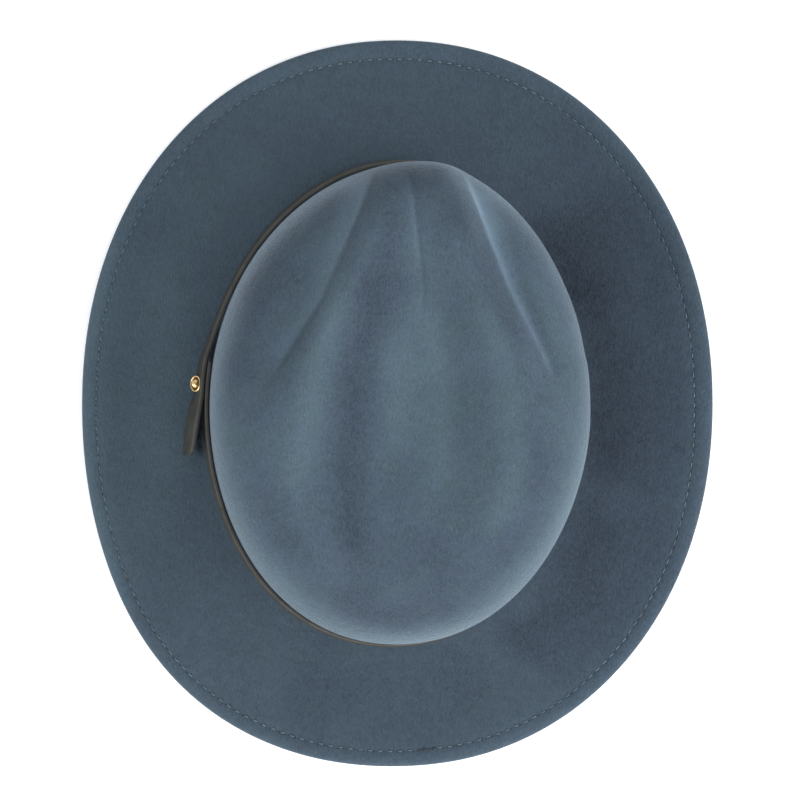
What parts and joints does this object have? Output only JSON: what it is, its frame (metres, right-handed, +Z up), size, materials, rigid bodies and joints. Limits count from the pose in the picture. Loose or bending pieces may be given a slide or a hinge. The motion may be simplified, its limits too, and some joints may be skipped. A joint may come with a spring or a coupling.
{
  "type": "felt hat",
  "caption": "Wide-brimmed felt hat with a pinched teardrop crown, a sewn brim edge and a leather strap fastened by a brass stud at the wearer's left.",
  "frame": {"origin": "middle of the hat's outline in plan, on the plane that the brim rests on", "axes": "+Z up through the crown, -Y towards the front of the hat, +X towards the wearer's left"},
  "size_m": [0.2837, 0.3283, 0.1092],
  "materials": {
    "wool_felt": "slate blue wool felt with a short soft nap",
    "strap_leather": "olive grey brown leather, semi matt",
    "stud_brass": "polished brass"
  },
  "bodies": {
    "root": {"felt_body": "wool_felt", "hat_band": "strap_leather", "band_stud": "stud_brass"}
  },
  "joints": []
}
